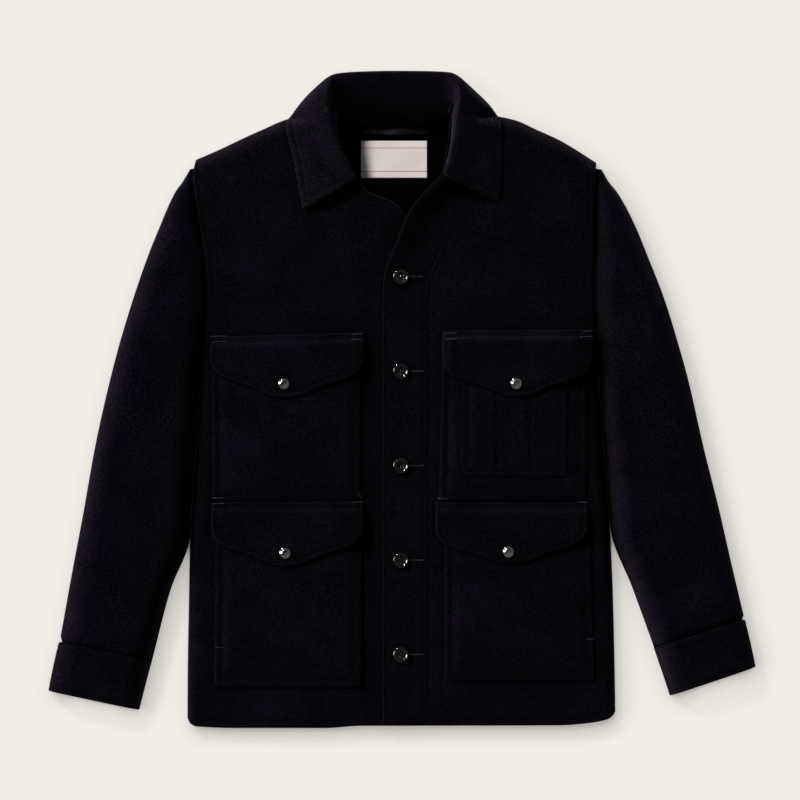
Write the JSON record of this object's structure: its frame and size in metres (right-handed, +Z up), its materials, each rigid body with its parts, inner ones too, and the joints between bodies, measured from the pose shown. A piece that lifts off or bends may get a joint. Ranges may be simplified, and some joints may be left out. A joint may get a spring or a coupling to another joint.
{
  "type": "wool mackinaw jacket, laid out flat",
  "caption": "Buttoned wool work jacket laid out on its back, with turned-down collar, set-in sleeves with cuffs, flapped bellows pockets and a narrow utility patch",
  "frame": {"origin": "on the surface that the jacket lies on, below the middle of its bounding box", "axes": "+Z up from the surface, +Y from hem to collar, +X across the jacket towards the side of the lapped front"},
  "size_m": [0.8484, 0.7863, 0.051],
  "materials": {
    "wool": "felted heavy wool, very dark navy, matt with a short nap",
    "black_plastic": "polished black resin",
    "dark_chrome": "polished gunmetal plating",
    "woven_label": "fine satin weave, cream with thin red rules",
    "satin": "dark satin tape"
  },
  "bodies": {
    "root": {"back": "wool", "front_left": "wool", "front_right": "wool", "sleeve_left": "wool", "sleeve_right": "wool", "cuff_left": "wool", "cuff_right": "wool", "collar": "wool", "pocket_upper_left": "wool", "pocket_lower_left": "wool", "pocket_upper_right": "wool", "pocket_lower_right": "wool", "pocket_utility": "wool", "flap_upper_left": "wool", "flap_lower_left": "wool", "flap_upper_right": "wool", "flap_lower_right": "wool", "snap_upper_left": "dark_chrome", "snap_lower_left": "dark_chrome", "snap_upper_right": "dark_chrome", "snap_lower_right": "dark_chrome", "button_1": "black_plastic", "button_2": "black_plastic", "button_3": "black_plastic", "button_4": "black_plastic", "button_5": "black_plastic", "neck_label": "woven_label", "hanger_loop": "satin"}
  },
  "joints": []
}
